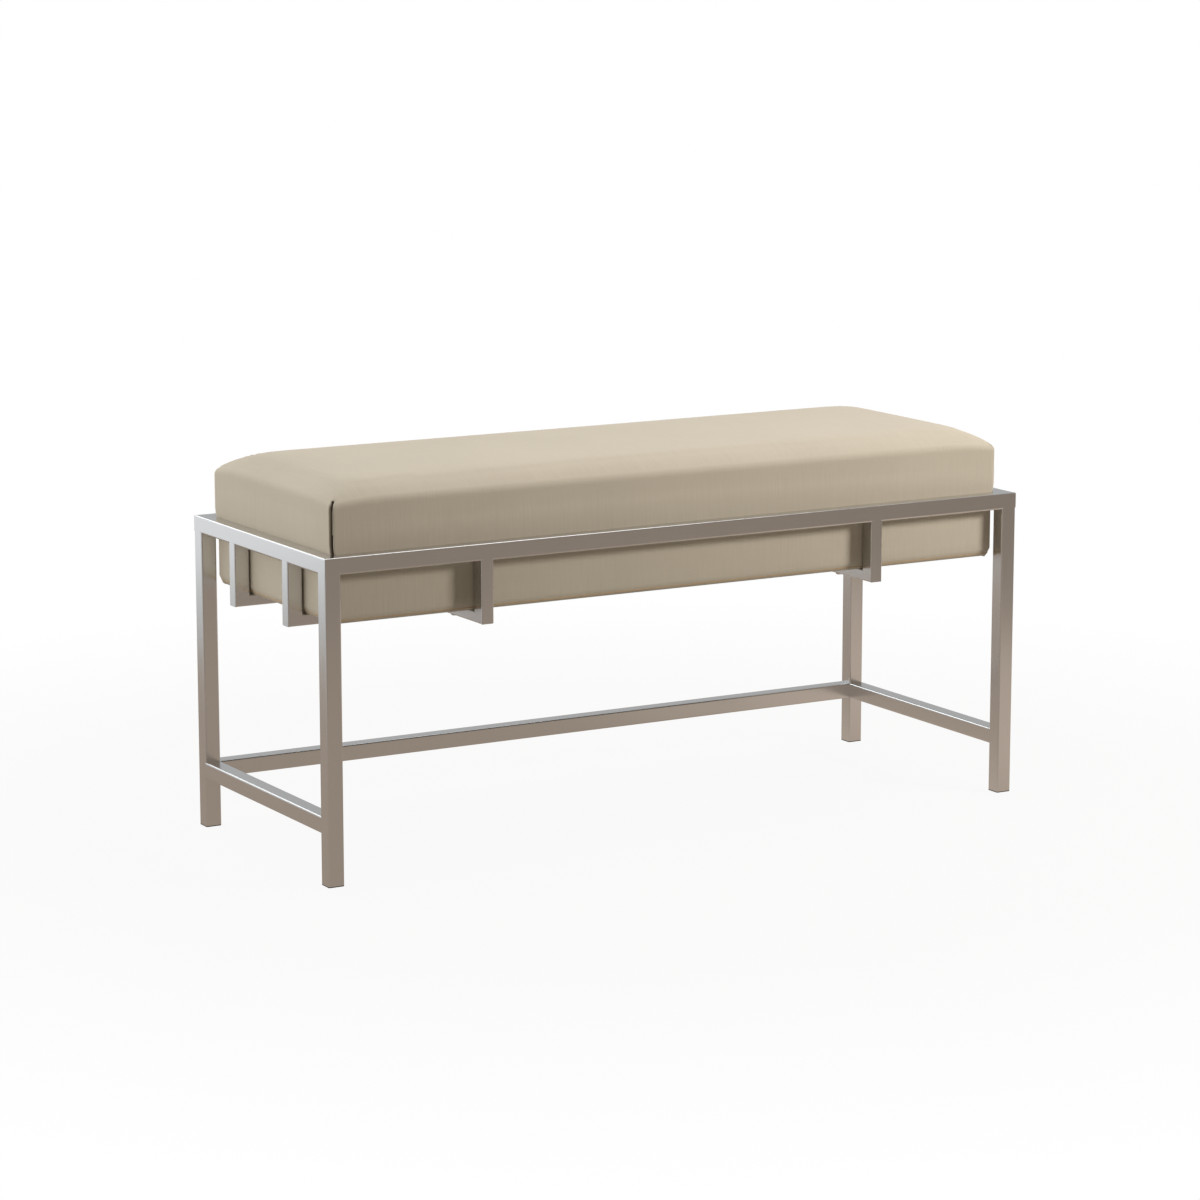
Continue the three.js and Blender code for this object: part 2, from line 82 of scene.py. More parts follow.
# Lining under the seat and its staples
LINING_THICKNESS = 0.0005
LINING_RISE = 0.00075
STAPLE_PITCH = 0.045
STAPLE_WIDTH = 0.011
STAPLE_WIRE = 0.0011
STAPLE_LEG = 0.0022
STAPLE_INSET = 0.008

# Welds, ground flush
WELD_REACH = 0.001  # lap over the tube's end
WELD_FILL = 0.0026  # run past a butt end, over the rounded corners of the other tube
WELD_RISE = 0.00002
WELD_THICKNESS = 0.0008
WELD_CORNER = 0.0025
WELD_FACETS = 4

# Looks: grain in cells per metre (across, along), tones from 0 dark to 1 light, relief as (strength, metres)
NOISE_RANGE = (0.3, 0.7)
TINT_SPREAD = 0.25
WHITE = (1.0, 1.0, 1.0)

# Seat fabric
FABRIC = (0.62, 0.55, 0.44)
FABRIC_STREAKS = (1300.0, 24.0)
FABRIC_SLUBS = (420.0, 9.0)
FABRIC_WEFT = (30.0, 1500.0)
FABRIC_CLOUDS = 7.0
STREAK_SHARE = 0.4
SLUB_SHARE = 0.2
WEFT_SHARE = 0.2
CLOUD_SHARE = 0.2
FABRIC_TURN = (0.6, 0.8)  # part of the normal over which the threads change direction
FABRIC_TONES = (0.34, 0.66)
FABRIC_ROUGHNESS = (0.78, 0.92)
FABRIC_RELIEF = (0.35, 0.0004)
# Painted shade in the corner seams: a near-black colour laid into each pressed-in groove
SEAM_PAINTED_SHADE = (0.05, 0.043, 0.034)
SEAM_FADE = (0.1, 0.8)
SEAM_SHADE_STRENGTH = 0.9

# Satin nickel
NICKEL = (0.71, 0.715, 0.72)
BRUSH = (2200.0, 14.0)
SMEARS = 9.0
BRUSH_SHARE = 0.7
SMEAR_SHARE = 0.3
NICKEL_TONES = (0.46, 0.54)
NICKEL_ROUGHNESS = (0.2, 0.25)
BRUSH_RELIEF = (0.04, 0.0001)

# Zinc plate
ZINC = (0.60, 0.61, 0.62)
SPANGLES = 420.0
ZINC_TONES = (0.35, 0.65)
ZINC_ROUGHNESS = (0.3, 0.5)
THREAD_PITCH = 0.00125
THREAD_RELIEF = (0.5, 0.0003)

# Birch plywood
BIRCH = (0.60, 0.43, 0.26)
WOOD_GRAIN = (160.0, 6.0)
PLY_PAIR = 0.003
GRAIN_SHARE = 0.85
PLY_SHARE = 0.06
BIRCH_RANGE = (0.25, 0.65)
BIRCH_TONES = (0.25, 0.75)
BIRCH_ROUGHNESS = (0.55, 0.75)
WOOD_RELIEF = (0.2, 0.0004)

# Foam
FOAM = (0.85, 0.79, 0.62)
FOAM_CELLS = 900.0
FOAM_CLOUDS = 12.0
FOAM_TONES = (0.38, 0.62)
FOAM_CELL_RANGE = (0.0, 0.7)
FOAM_ROUGHNESS = (0.85, 1.0)
FOAM_RELIEF = (0.6, 0.0006)

# Black lining
LINING = (0.022, 0.021, 0.020)
LINING_DOTS = 620.0
LINING_FIBRES = 900.0
LINING_DOT_RANGE = (0.1, 0.5)
LINING_ROUGHNESS = (0.6, 0.95)
LINING_RELIEF = (0.4, 0.0003)

# Black nylon
NYLON = (0.016, 0.016, 0.016)
NYLON_GRAIN = 1400.0
NYLON_SCUFFS = 120.0
NYLON_ROUGHNESS = (0.45, 0.7)
NYLON_RELIEF = (0.3, 0.0002)

# The photograph's camera
CAMERA_PLACE = (-2.9767, -5.0886, 1.4295)
CAMERA_YAW = math.radians(30.143)
CAMERA_PITCH = math.radians(-10.571)
CAMERA_LENS = 116.68
CAMERA_SENSOR = 36.0

# Floor, as it is lit and as the camera sees it, and the painted reflection it glows for the metal to mirror
FLOOR_RADIUS = 1.9
FLOOR_SEGMENTS = 128
FLOOR_COLOUR = (0.40, 0.38, 0.35)
FLOOR_ROUGHNESS = 0.9
FLOOR_WHITE = 0.93
FLOOR_FADE_START = 0.9
FLOOR_RIM = 0.095
# Painted reflection: the colours the floor glows to mirrored rays, darker on the left and lighter on the
# right
PAINTED_FLOOR_REFLECTION_LEFT = (0.40, 0.325, 0.265)
PAINTED_FLOOR_REFLECTION_RIGHT = (0.60, 0.495, 0.41)
PAINTED_REFLECTION_CHANGE = (0.25, 0.75)

# Studio round the floor, as it lights the bench and as the metal mirrors it
DIM_FRONT = (0.10, 0.085, 0.07)
WHITE_REAR = (0.9, 0.9, 0.9)
REAR_CHANGE = (-0.45, 0.15)
MIRRORED_FRONT = (0.296, 0.244, 0.199)
MIRRORED_LEFT = (0.61, 0.61, 0.61)
MIRRORED_RIGHT = (0.48, 0.48, 0.48)
RIGHT_CHANGE = (-0.5, 0.5)

# Lamps, in metres and watts
COOL_LIGHT = (0.93, 0.97, 1.0)
WARM_LIGHT = (1.0, 0.98, 0.95)
LAMPS = (
    dict(name="key", place=(0.2, -0.4, 2.6), target=(0.0, 0.0, 0.5), size=(2.6, 1.0), power=14.3),
    dict(name="right", place=(2.0, -1.85, 1.4), target=(0.0, -0.2, 0.45), size=(0.6, 0.6), power=47.0,
         colour=WARM_LIGHT, mirrored=False),
    dict(name="left", place=(-1.6, 1.75, 0.45), target=(-0.6, 0.0, 0.4), size=(1.2, 0.8), power=1.1,
         colour=COOL_LIGHT),
    dict(name="fill", place=(-2.4, 0.3, 0.9), target=(-0.6, 0.0, 0.5), size=(1.0, 1.0), power=8.3),
    dict(name="rear", place=(-0.7, 3.0, 1.9), target=(0.0, 0.0, 0.5), size=(2.2, 0.9), power=10.5,
         colour=COOL_LIGHT),
)

X, Y, Z = range(3)
ends = (("left", -1), ("right", 1))
sides = (("front", -1), ("rear", 1))
corners = [f"{side}_{end}" for side, _ in sides for end, _ in ends]

deck_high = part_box("seat_deck")[1]
cover_low, cover_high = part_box("seat_cover")
lining_inset = COVER_THICKNESS + FIT_GAP
seat_half_length = deck_high.x + lining_inset
seat_half_width = deck_high.y + lining_inset
seat_bottom = cover_low.z
seat_edge = cover_high.z - CROWN
roll_start = seat_edge - TOP_ROLL
rail_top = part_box("rail_front")[1].z
# Angle at which the rolled edge meets the slope of the crown
roll_end = math.atan(seat_half_width / (CROWN * CROWN_POWER))


def opaque(colour):
    return (*colour, 1.0)


class Nodes:
    """Builds the node tree of a material or of the world."""

    def __init__(self, owner):
        owner.use_nodes = True
        self.owner = owner
        self.tree = owner.node_tree
        self.shader = self.tree.nodes.get("Principled BSDF")

    def add(self, kind, inputs=None, **settings):
        node = self.tree.nodes.new(kind)
        for key, value in settings.items():
            setattr(node, key, value)
        for key, value in (inputs or {}).items():
            self.feed(node, key, value)
        return node

    def feed(self, node, key, value):
        if isinstance(value, bpy.types.NodeSocket):
            self.tree.links.new(value, node.inputs[key])
        else:
            node.inputs[key].default_value = value

    def set(self, **values):
        for key, value in values.items():
            self.feed(self.shader, key.replace("_", " "), value)

    def math(self, operation, a, b=0.0):
        return self.add("ShaderNodeMath", {0: a, 1: b}, operation=operation).outputs[0]

    def total(self, first, first_share, second, second_share):
        """The sum of two values, each times its share."""
        return self.math("ADD", self.math("MULTIPLY", first, first_share),
                         self.math("MULTIPLY", second, second_share))

    def waves(self, value, length):
        return self.math("SINE", self.math("MULTIPLY", value, 2 * math.pi / length))

    def ramp(self, value, low, high, to_low=0.0, to_high=1.0, kind="LINEAR"):
        inputs = {"Value": value, "From Min": low, "From Max": high, "To Min": to_low, "To Max": to_high}
        return self.add("ShaderNodeMapRange", inputs, interpolation_type=kind).outputs["Result"]

    def spread(self, noise, low, high):
        """A noise's usual range, stretched from low to high."""
        return self.ramp(noise, *NOISE_RANGE, low, high)

    def lerp(self, share, a, b):
        inputs = {"Factor": share, 2: a, 3: b}
        return self.add("ShaderNodeMix", inputs, data_type="FLOAT").outputs[0]

    def blend(self, share, a, b):
        inputs = {"Factor": share, 6: a, 7: b}
        return self.add("ShaderNodeMix", inputs, data_type="RGBA").outputs[2]

    def tint(self, colour, share):
        """The colour darkened and lightened evenly by a share that runs about 0.5."""
        dark = tuple((1 - TINT_SPREAD) * part for part in colour)
        light = tuple(min(1.0, (1 + TINT_SPREAD) * part) for part in colour)
        return self.blend(share, opaque(dark), opaque(light))

    def split(self, vector):
        return self.add("ShaderNodeSeparateXYZ", {0: vector}).outputs[0:3]

    def vector(self, x, y, z=0.0):
        return self.add("ShaderNodeCombineXYZ", {0: x, 1: y, 2: z}).outputs[0]

    def coordinates(self):
        return self.add("ShaderNodeTexCoord").outputs["Object"]

    def place(self):
        return self.split(self.coordinates())

    def facing(self):
        return self.split(self.add("ShaderNodeNewGeometry").outputs["Normal"])

    def rays(self):
        """Whether a ray comes from the camera, and whether it was mirrored or let through."""
        path = self.add("ShaderNodeLightPath").outputs
        mirrored = self.math("MAXIMUM", path["Is Glossy Ray"], path["Is Transmission Ray"])
        return path["Is Camera Ray"], mirrored

    def noise(self, vector, scale=1.0, detail=2.0):
        inputs = {"Vector": vector, "Scale": scale, "Detail": detail}
        return self.add("ShaderNodeTexNoise", inputs).outputs[0]

    def threads(self, across, along, cells):
        """A noise drawn out along the threads of a cloth."""
        return self.noise(self.vector(self.math("MULTIPLY", across, cells[0]),
                                      self.math("MULTIPLY", along, cells[1])))

    def fibres(self, axis, cells):
        """A noise drawn out along one axis."""
        across, along = cells
        scales = [along if letter == axis else across for letter in "xyz"]
        return self.noise(self.vector(*[self.math("MULTIPLY", *pair) for pair in zip(self.place(), scales)]))

    def bubbles(self, scale, randomness=1.0):
        """How far a point is from the middle of its cell."""
        inputs = {"Vector": self.coordinates(), "Scale": scale, "Randomness": randomness}
        return self.add("ShaderNodeTexVoronoi", inputs).outputs["Distance"]

    def bump(self, height, strength, distance):
        inputs = {"Height": height, "Strength": strength, "Distance": distance}
        self.set(Normal=self.add("ShaderNodeBump", inputs).outputs[0])


def material_nodes(name):
    return Nodes(bpy.data.materials.new(name))


def fabric_material():
    """Smooth upholstery cloth, its fine uneven threads running up the sides and front to rear on top, with
    painted shade in the seams.
    """
    nodes = material_nodes("seat_fabric")
    x, y, z = nodes.place()
    facing_x, _, facing_z = nodes.facing()
    on_end = nodes.ramp(nodes.math("ABSOLUTE", facing_x), *FABRIC_TURN)
    on_top = nodes.ramp(nodes.math("ABSOLUTE", facing_z), *FABRIC_TURN)
    across = nodes.lerp(on_end, x, y)
    along = nodes.lerp(on_top, z, y)
    streak = nodes.threads(across, along, FABRIC_STREAKS)
    slub = nodes.threads(across, along, FABRIC_SLUBS)
    weft = nodes.threads(across, along, FABRIC_WEFT)
    cloud = nodes.noise(nodes.coordinates(), FABRIC_CLOUDS)
    threads = nodes.total(streak, STREAK_SHARE, weft, WEFT_SHARE)
    patches = nodes.total(slub, SLUB_SHARE, cloud, CLOUD_SHARE)
    weave = nodes.tint(FABRIC, nodes.spread(nodes.math("ADD", threads, patches), *FABRIC_TONES))
    # Painted shade: the cloth's colour turns near black where the corner seams are pressed in
    seam = nodes.add("ShaderNodeAttribute", attribute_name="seam").outputs["Fac"]
    seam_shade = nodes.ramp(seam, *SEAM_FADE, 0.0, SEAM_SHADE_STRENGTH)
    nodes.set(Base_Color=nodes.blend(seam_shade, weave, opaque(SEAM_PAINTED_SHADE)))
    nodes.set(Roughness=nodes.spread(streak, *FABRIC_ROUGHNESS))
    nodes.set(Sheen_Weight=0.04, Sheen_Roughness=0.5, Specular_IOR_Level=0.15)
    nodes.bump(threads, *FABRIC_RELIEF)
    return nodes.owner


def nickel_material(axis):
    """Satin nickel plate, brushed along one axis."""
    nodes = material_nodes(f"frame_metal_{axis}")
    brush = nodes.fibres(axis, BRUSH)
    smear = nodes.noise(nodes.coordinates(), SMEARS)
    mixed = nodes.total(brush, BRUSH_SHARE, smear, SMEAR_SHARE)
    nodes.set(Base_Color=nodes.tint(NICKEL, nodes.spread(mixed, *NICKEL_TONES)))
    nodes.set(Roughness=nodes.spread(mixed, *NICKEL_ROUGHNESS))
    nodes.set(Metallic=1.0)
    nodes.bump(brush, *BRUSH_RELIEF)
    return nodes.owner


def zinc_material():
    """Zinc plate with the thread of studs and screws rolled round the upright axis."""
    nodes = material_nodes("zinc_steel")
    spangle = nodes.noise(nodes.coordinates(), SPANGLES, detail=3.0)
    nodes.set(Base_Color=nodes.tint(ZINC, nodes.spread(spangle, *ZINC_TONES)))
    nodes.set(Roughness=nodes.spread(spangle, *ZINC_ROUGHNESS))
    nodes.set(Metallic=1.0)
    _, _, z = nodes.place()
    nodes.bump(nodes.waves(z, THREAD_PITCH), *THREAD_RELIEF)
    return nodes.owner


def plywood_material():
    """Birch plywood with face grain along the bench and its plies on the edges."""
    nodes = material_nodes("plywood")
    grain = nodes.fibres("x", WOOD_GRAIN)
    _, _, z = nodes.place()
    mixed = nodes.total(grain, GRAIN_SHARE, nodes.waves(z, PLY_PAIR), PLY_SHARE)
    nodes.set(Base_Color=nodes.tint(BIRCH, nodes.ramp(mixed, *BIRCH_RANGE, *BIRCH_TONES)))
    nodes.set(Roughness=nodes.spread(grain, *BIRCH_ROUGHNESS))
    nodes.bump(grain, *WOOD_RELIEF)
    return nodes.owner


def foam_material():
    """Open-cell foam."""
    nodes = material_nodes("foam")
    cells = nodes.bubbles(FOAM_CELLS)
    cloud = nodes.noise(nodes.coordinates(), FOAM_CLOUDS)
    nodes.set(Base_Color=nodes.tint(FOAM, nodes.spread(cloud, *FOAM_TONES)))
    nodes.set(Roughness=nodes.ramp(cells, *FOAM_CELL_RANGE, *FOAM_ROUGHNESS))
    nodes.bump(cells, *FOAM_RELIEF)
    return nodes.owner


def lining_material():
    """Black non-woven lining with its grid of melted dots."""
    nodes = material_nodes("lining")
    dots = nodes.bubbles(LINING_DOTS, randomness=0.1)
    nodes.set(Base_Color=nodes.tint(LINING, nodes.noise(nodes.coordinates(), LINING_FIBRES, detail=4.0)))
    nodes.set(Roughness=nodes.ramp(dots, *LINING_DOT_RANGE, *LINING_ROUGHNESS))
    nodes.bump(dots, *LINING_RELIEF)
    return nodes.owner


def nylon_material():
    """Moulded black nylon with a fine grain."""
    nodes = material_nodes("foot_plastic")
    grain = nodes.noise(nodes.coordinates(), NYLON_GRAIN, detail=3.0)
    scuff = nodes.noise(nodes.coordinates(), NYLON_SCUFFS, detail=4.0)
    nodes.set(Base_Color=nodes.tint(NYLON, scuff))
    nodes.set(Roughness=nodes.spread(scuff, *NYLON_ROUGHNESS))
    nodes.bump(grain, *NYLON_RELIEF)
    return nodes.owner


# Materials of the CAD nodes that keep their shape
def long_axis(node):
    low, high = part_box(node)
    reach = [high[k] - low[k] for k in range(3)]
    return "xyz"[reach.index(max(reach))]


def dress(materials):
    for part in frame["record"]["subparts"]:
        material = materials[part["material_slot"]]
        if part["material_slot"] == "frame_metal":
            material = material[long_axis(part["node"])]
        piece = frame["nodes"][part["node"]]
        piece.data.materials.clear()
        piece.data.materials.append(material)


# Mesh helpers
def make_piece(name, builder, material, smooth=True):
    mesh = bpy.data.meshes.new(name)
    builder.normal_update()
    builder.to_mesh(mesh)
    builder.free()
    for polygon in mesh.polygons:
        polygon.use_smooth = smooth
    mesh.materials.append(material)
    piece = bpy.data.objects.new(name, mesh)
    bpy.context.scene.collection.objects.link(piece)
    return piece


def clamp(value):
    return min(1.0, max(0.0, value))


def unit(axis, sign=1):
    direction = Vector((0, 0, 0))
    direction[axis] = sign
    return direction


def join_loops(builder, loops):
    """Quads between each loop of vertices and the next."""
    count = len(loops[0])
    for lower, upper in zip(loops, loops[1:]):
        for k in range(count):
            m = (k + 1) % count
            builder.faces.new((lower[k], lower[m], upper[m], upper[k]))


# Cover and foam of the seat
def stations(low, high, fine_low=True):
    """Places between two ends, closer together towards the high end and, if asked, towards the low one."""
    graded = [0.0]
    step = FINE_STEP
    while step < COARSE_STEP and graded[-1] + step < (high - low) / 2:
        graded.append(graded[-1] + step)
        step *= STEP_GROWTH
    start = [low + place for place in graded] if fine_low else [low]
    finish = [high - place for place in reversed(graded)]
    span = finish[0] - start[-1]
    count = max(1, round(span / COARSE_STEP))
    middle = [start[-1] + span * k / count for k in range(1, count)]
    return start + middle + finish


def lift(z):
    """0 at the rails and 1 at the seat's edge."""
    return clamp((z - rail_top) / (seat_edge - rail_top))


def bulge(z):
    """0 at the rails and soon 1 above them."""
    return 1 - (1 - clamp((z - rail_top) / (roll_start - rail_top))) ** BULGE_POWER


class SeatForm:
    """The outside of the cover, or of the foam inside it: a plain box, rounded, crowned and drawn in.
    Slack lowers the crown before it is stuffed."""

    def __init__(self, inset, bottom, slack=0.0):
        self.half_length = seat_half_length - inset
        self.half_width = seat_half_width - inset
        self.bottom = bottom
        self.top = seat_edge - inset
        self.crown = CROWN - slack

    def crown_share(self, x, y):
        """0 at the seat's edge, 1 over its flat middle."""
        def climb(inset):
            return 1 - (1 - clamp(inset / self.half_width)) ** CROWN_POWER
        from_end = max(TINY, climb(self.half_length - abs(x)))
        from_side = max(TINY, climb(self.half_width - abs(y)))
        return (from_end ** -CROWN_BLEND + from_side ** -CROWN_BLEND) ** (-1 / CROWN_BLEND)

    def corner_dip(self, x, y, z):
        """How far the top sinks towards the sewn corners."""
        away = math.hypot(self.half_length - abs(x), self.half_width - abs(y))
        return CORNER_DIP * lift(z) * max(0.0, 1 - away / CORNER_REACH) ** 2

    def draw_in(self, x, z):
        """How far the front and rear draw in between the corners, more towards the top."""
        return SIDE_DRAW * lift(z) * (1 - (x / self.half_length) ** 2)

    def round_off(self, x, y, z):
        """A point of the box moved onto its rounded edges."""
        inner_x = math.copysign(min(abs(x), self.half_length - CORNER_RADIUS), x)
        inner_y = math.copysign(min(abs(y), self.half_width - CORNER_RADIUS), y)
        away = Vector((x - inner_x, y - inner_y))
        if away.length > 0:
            away *= max(abs(away.x), abs(away.y)) / away.length
        roll_rise = TOP_ROLL * math.sin(roll_end)
        above = max(0.0, z - (self.top - roll_rise)) / roll_rise * roll_end
        below = max(0.0, self.bottom + BOTTOM_ROLL - z) / BOTTOM_ROLL * math.pi / 2
        pull = TOP_ROLL * (1 - math.cos(above)) + BOTTOM_ROLL * (1 - math.cos(below))
        if above > 0:
            z = self.top - roll_rise + TOP_ROLL * math.sin(above)
        if below > 0:
            z = self.bottom + BOTTOM_ROLL * (1 - math.sin(below))
        round_x = (inner_x + away.x) * (1 - pull / self.half_length)
        round_y = (inner_y + away.y) * (1 - pull / self.half_width)
        return Vector((round_x, round_y, z))

    def finished(self, x, y, z):
        """Where a point of the box lies on the seat before its seams are pressed in."""
        place = self.round_off(x, y, z)
        if z >= self.top - TINY:
            place.z += self.crown * self.crown_share(x, y)
        place.z -= self.corner_dip(x, y, z)
        swollen = bulge(z)
        place.x += END_BULGE * swollen * place.x / self.half_length
        outward = SIDE_BULGE * swollen - self.draw_in(place.x, place.z)
        place.y += outward * place.y / self.half_width
        return place

    def seam_press(self, x, y):
        """How the upright seam at each corner presses a point of the box in."""
        from_x = abs(x) - (self.half_length - CORNER_RADIUS)
        from_y = abs(y) - (self.half_width - CORNER_RADIUS)
        if from_x <= 0 or from_y <= 0:
            return Vector((0, 0, 0))
        radius = max(from_x, from_y)
        aside = abs(math.atan2(from_y, from_x) - math.pi / 4) * radius
        near_seam = max(0.0, 1 - aside / (SEAM_WIDTH / 2))
        near_edge = max(0.0, radius / (CORNER_RADIUS / 2) - 1)
        depth = SEAM_DEPTH * near_seam * near_edge
        return Vector((-math.copysign(depth, x), -math.copysign(depth, y), 0)) / math.sqrt(2)

    def mesh(self, open_below):
        """A grid of quads, open below inside the hem if asked, and the press of the seams on each vertex."""
        xs = stations(-self.half_length, self.half_length)
        ys = stations(-self.half_width, self.half_width)
        zs = stations(self.bottom, self.top, fine_low=False)
        builder = bmesh.new()
        known = {}
        presses = []

        def vertex(*point):
            key = tuple(round(part, PLACE_DIGITS) for part in point)
            if key not in known:
                known[key] = builder.verts.new(self.finished(*point))
                presses.append(self.seam_press(*point[0:2]))
            return known[key]

        def patch(columns, rows, at):
            for a, b in zip(columns, columns[1:]):
                for c, d in zip(rows, rows[1:]):
                    builder.faces.new([vertex(*at(*uv)) for uv in ((a, c), (b, c), (b, d), (a, d))])

        patch(xs, ys, lambda u, v: (u, v, self.top))
        patch(xs, zs, lambda u, v: (u, -self.half_width, v))
        patch(xs[::-1], zs, lambda u, v: (u, self.half_width, v))
        patch(ys, zs, lambda u, v: (self.half_length, u, v))
        patch(ys[::-1], zs, lambda u, v: (-self.half_length, u, v))
        for a, b in zip(xs, xs[1:]):
            for c, d in zip(ys, ys[1:]):
                from_end = self.half_length - abs(a + b) / 2
                from_side = self.half_width - abs(c + d) / 2
                if min(from_end, from_side) < HEM_WIDTH or not open_below:
                    builder.faces.new([vertex(*xy, self.bottom) for xy in ((a, c), (a, d), (b, d), (b, c))])
        bmesh.ops.recalc_face_normals(builder, faces=builder.faces)
        return builder, presses


def give(place):
    """How far the stuffing may move a point of the cover: 0 along the edges, 1 well away from them."""
    from_end = seat_half_length - abs(place.x)
    from_side = seat_half_width - abs(place.y)
    clear = min(from_end, from_side)
    if place.z < roll_start:
        clear = min(roll_start - place.z, place.z - rail_top, max(from_end, from_side))
    share = clamp(clear / EDGE_HOLD)
    return share * share * (3 - 2 * share)


def swell(cover):
    """Stuffs the cover by a cloth simulation and keeps how far each point moves out, up to a cap."""
    start = [vertex.co.copy() for vertex in cover.data.vertices]
    outward = [vertex.normal.copy() for vertex in cover.data.vertices]
    group = cover.vertex_groups.new(name="held")
    group.add([index for index, place in enumerate(start) if place.z < rail_top + TOP_ROLL], 1.0, "REPLACE")
    cloth = cover.modifiers.new("stuffing", "CLOTH")
    cloth.settings.vertex_group_mass = "held"
    cloth.settings.use_pressure = True
    cloth.settings.uniform_pressure_force = SWELL_PRESSURE
    cloth.settings.effector_weights.gravity = 0.0
    cloth.settings.quality = SWELL_QUALITY
    cloth.point_cache.frame_end = SWELL_FRAMES
    scene = bpy.context.scene
    for number in range(1, SWELL_FRAMES + 1):
        scene.frame_set(number)
    stuffed = cover.evaluated_get(bpy.context.evaluated_depsgraph_get())
    moved = [vertex.co.copy() for vertex in stuffed.data.vertices]
    cover.modifiers.remove(cloth)
    cover.vertex_groups.remove(group)
    for vertex, old, new, out in zip(cover.data.vertices, start, moved, outward):
        step = max(0.0, (new - old).dot(out))
        vertex.co = old + out * give(old) * SWELL_CAP * math.tanh(step / SWELL_CAP)
    scene.frame_set(1)


def add_cover(material):
    slack = SWELL_CAP
    builder, presses = SeatForm(0.0, seat_bottom, slack).mesh(open_below=True)
    cover = make_piece("upholstered_cover", builder, material)
    swell(cover)
    # How deep each point is pressed into a seam; the fabric paints shade into the seams by it
    seam = cover.data.attributes.new("seam", "FLOAT", "POINT")
    for vertex, press in zip(cover.data.vertices, presses):
        vertex.co += press
        seam.data[vertex.index].value = press.length / SEAM_DEPTH
    thick = cover.modifiers.new("cloth thickness", "SOLIDIFY")
    thick.thickness = COVER_THICKNESS
    thick.offset = -1
    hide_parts("seat_cover")
    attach(cover, "bench")


def add_foam(material):
    builder, _ = SeatForm(2 * lining_inset, deck_high.z + FIT_GAP).mesh(open_below=False)
    core = make_piece("foam_core", builder, material)
    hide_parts("seat_foam")
    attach(core, "bench")


# Welds that fill the gaps between the tubes
def rounded_oblong(half_depth, half_width, radius):
    points = []
    for turn, (sx, sy) in enumerate(((1, 1), (-1, 1), (-1, -1), (1, -1))):
        for k in range(WELD_FACETS + 1):
            angle = (turn + k / WELD_FACETS) * math.pi / 2
            x = sx * (half_depth - radius) + radius * math.cos(angle)
            y = sy * (half_width - radius) + radius * math.sin(angle)
            points.append((x, y))
    return points


def add_weld(builder, node, along, outside, gap, fill, mitre=0.0):
    """A band round a tube's end that runs on past it by the fill. A mitre is how far the end is cut back,
    as a share of the tube's depth."""
    low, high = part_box(node)
    span = high - low
    across = along.cross(outside)
    depth = abs(span.dot(outside))
    width = abs(span.dot(across))
    centre = (low + high) / 2 + along * (abs(span.dot(along)) / 2 + gap / 2)
    outer = ((-WELD_REACH, WELD_RISE), (fill, WELD_RISE))
    inner = ((fill, -WELD_THICKNESS), (-WELD_REACH, -WELD_THICKNESS))
    loops = []
    for reach, grow in outer + inner:
        loop = []
        for out, aside in rounded_oblong(depth / 2 + grow, width / 2 + grow, WELD_CORNER + grow):
            run = reach + mitre * (out - depth / 2)
            if mitre:
                run = min(run, grow)
            loop.append(builder.verts.new(centre + outside * out + across * aside + along * run))
        loops.append(loop)
    join_loops(builder, loops + loops[:1])


def add_welds(material):
    builder = bmesh.new()
    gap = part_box("rail_front")[0].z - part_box("leg_front_left")[1].z
    butts = [(f"leg_{corner}", Z, 1) for corner in corners]
    butts += [(f"strap_drop_{corner}", Z, 1) for corner in corners]
    for end, sx in ends:
        butts += [(f"stretcher_{end}", Y, -1), (f"stretcher_{end}", Y, 1), ("stretcher_rear", X, sx)]
        for side, _ in sides:
            butts += [(f"end_drop_{end}_{side}", Z, 1), (f"end_bar_{end}_{side}", X, -sx)]
    for node, axis, sign in butts:
        add_weld(builder, node, unit(axis, sign), unit((axis + 1) % 3), gap, WELD_FILL)
    strap_low, strap_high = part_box("strap_left")
    drop_low, drop_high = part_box("strap_drop_front_left")
    drop_mitre = (strap_high.z - strap_low.z) / (drop_high.y - drop_low.y)
    for side, sy in sides:
        for end, sx in ends:
            add_weld(builder, f"rail_{side}", unit(X, sx), unit(Y, sy), gap, WELD_REACH, mitre=1.0)
            drops = ((f"strap_drop_{side}_{end}", unit(Y, sy)), (f"end_drop_{end}_{side}", unit(X, sx)))
            for node, outside in drops:
                add_weld(builder, node, unit(Z, -1), outside, gap, WELD_REACH, mitre=drop_mitre)
    bmesh.ops.recalc_face_normals(builder, faces=builder.faces)
    welds = make_piece("frame_welds", builder, material, smooth=False)
    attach(welds, "bench")


# Lining under the seat and its staples
def make_sheet(low, high, material):
    """A sheet at half the height of the solid, drawn up a little in its middle."""
    span = high - low
    count_x = round(span.x / COARSE_STEP)
    count_y = round(span.y / COARSE_STEP)
    builder = bmesh.new()
    rows = []
    for i in range(count_x + 1):
        row = []
        for j in range(count_y + 1):
            u = i / count_x
            v = j / count_y
            rise = LINING_RISE * math.sin(math.pi * u) * math.sin(math.pi * v)
            place = (low.x + u * span.x, low.y + v * span.y, low.z + span.z / 2 + rise)
            row.append(builder.verts.new(place))
        rows.append(row)
    for left, right in zip(rows, rows[1:]):
        for j in range(count_y):
            builder.faces.new((left[j], left[j + 1], right[j + 1], right[j]))
    sheet = make_piece("lining_sheet", builder, material)
    thick = sheet.modifiers.new("cloth thickness", "SOLIDIFY")
    thick.thickness = LINING_THICKNESS
    return sheet


